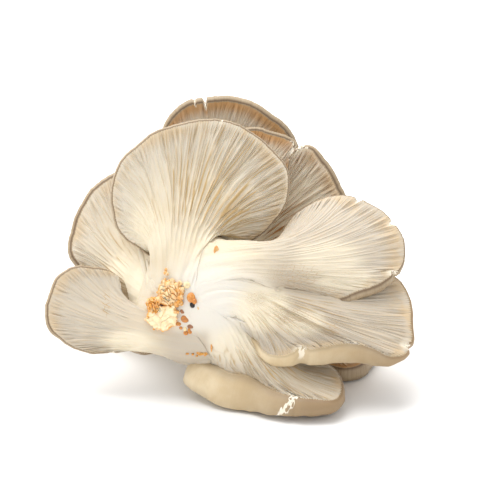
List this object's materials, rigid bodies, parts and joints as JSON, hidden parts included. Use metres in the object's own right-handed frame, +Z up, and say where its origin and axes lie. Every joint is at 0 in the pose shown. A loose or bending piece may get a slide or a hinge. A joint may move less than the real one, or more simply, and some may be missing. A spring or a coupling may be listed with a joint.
{
  "type": "oyster mushroom cluster",
  "caption": "Picked cluster of oyster mushrooms lying on its side: fan-shaped caps with gills running down pale stems that join in one crusted foot.",
  "frame": {"origin": "centre of the bounding box's base, on the surface that the cluster lies on", "axes": "+X across the cluster to the right as seen from the foot, +Y from the foot's face towards the caps behind, +Z up"},
  "size_m": [0.185, 0.1354, 0.1269],
  "materials": {
    "foot": "smooth matte white flesh with small brown buds",
    "mushroom": "matte cream gills and stem, with a grey-brown satin skin over the cap",
    "crust": "rough dry orange-brown crumbs"
  },
  "bodies": {
    "root": {"foot": "foot", "mushroom_front": "mushroom", "mushroom_right_low": "mushroom", "mushroom_right": "mushroom", "mushroom_upper": "mushroom", "mushroom_left_low": "mushroom", "mushroom_left": "mushroom", "mushroom_upper_right": "mushroom", "mushroom_right_high": "mushroom", "mushroom_top": "mushroom", "mushroom_back_right": "mushroom", "mushroom_back_left": "mushroom", "crust": "crust"}
  },
  "joints": []
}
